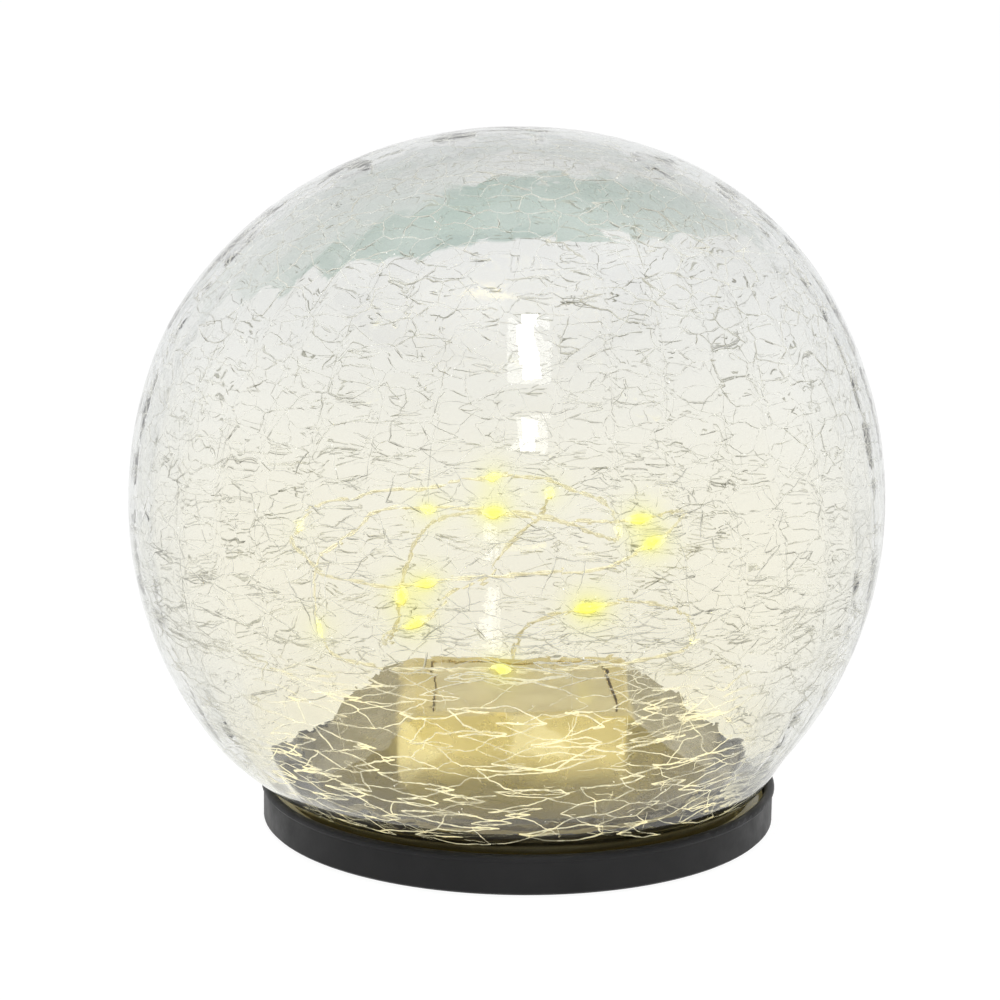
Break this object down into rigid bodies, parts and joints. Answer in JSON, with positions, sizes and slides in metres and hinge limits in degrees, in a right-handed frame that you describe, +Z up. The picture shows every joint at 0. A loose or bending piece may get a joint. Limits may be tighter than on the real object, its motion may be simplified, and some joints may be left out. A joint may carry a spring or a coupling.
{
  "type": "garden globe light",
  "caption": "Crackle-glass ball light on a low round tray, with a solar module in its neck and a string of tiny lamps standing inside the ball.",
  "frame": {"origin": "on the ground under the middle of the object, at the underside of the feet", "axes": "+Z up along the axis of the ball; -Y towards the viewer of the picture; battery door lies towards -Y, the string leaves the module towards +Y"},
  "size_m": [0.15, 0.15, 0.14],
  "materials": {
    "crackle_glass": "clear, finely crazed",
    "black_plastic": "satin moulded",
    "gold_plastic": "satin gold",
    "silicone": "soft",
    "clear_sealant": "soft bead",
    "solar_glass": "clear",
    "solar_cell": "satin thin film",
    "laminate": "lacquered board",
    "tinned_copper": "bright",
    "steel": "zinc plated",
    "cell_wrap": "shrink wrap",
    "component_black": "moulded",
    "ferrite": "sintered",
    "capacitor_sleeve": "sleeve",
    "white_plastic": "moulded",
    "rubber": "matte",
    "enamelled_wire": "lacquered",
    "lamp_drop": "clear drop, lit warm white",
    "lead_insulation": "soft"
  },
  "bodies": {
    "lamp": {"glass_globe": "crackle_glass", "base_tray": "black_plastic", "seat_gasket": "silicone", "neck_sealant": "clear_sealant", "module_cover": "gold_plastic", "cover_seal": "silicone", "solar_backplate": "laminate", "solar_cells": "solar_cell", "cell_ribbons": "tinned_copper", "solar_window": "solar_glass", "battery_cell": "cell_wrap", "contact_spring": "tinned_copper", "contact_plate": "tinned_copper", "circuit_board": "laminate", "controller_chip": "component_black", "boost_inductor": "ferrite", "capacitor": "capacitor_sleeve", "flyback_diode": "component_black", "board_screws": "steel", "switch_body": "component_black", "string_grommet": "rubber", "light_string": "enamelled_wire", "led_beads": "lamp_drop", "cover_screws": "steel", "rubber_feet": "rubber", "panel_leads": "lead_insulation", "battery_leads": "lead_insulation", "string_leads": "lead_insulation"},
    "switch_knob": {"switch_knob": "white_plastic"},
    "battery_door": {"battery_door": "black_plastic", "door_gasket": "silicone", "door_screws": "steel"}
  },
  "joints": [
    {"name": "switch_slide", "type": "slide", "parent": "lamp", "child": "switch_knob", "axis": [1, 0, 0], "range_m": [-0.003, 0]},
    {"name": "door_lift_off", "type": "slide", "parent": "lamp", "child": "battery_door", "axis": [0, 0, -1], "range_m": [0, 0.015]}
  ]
}
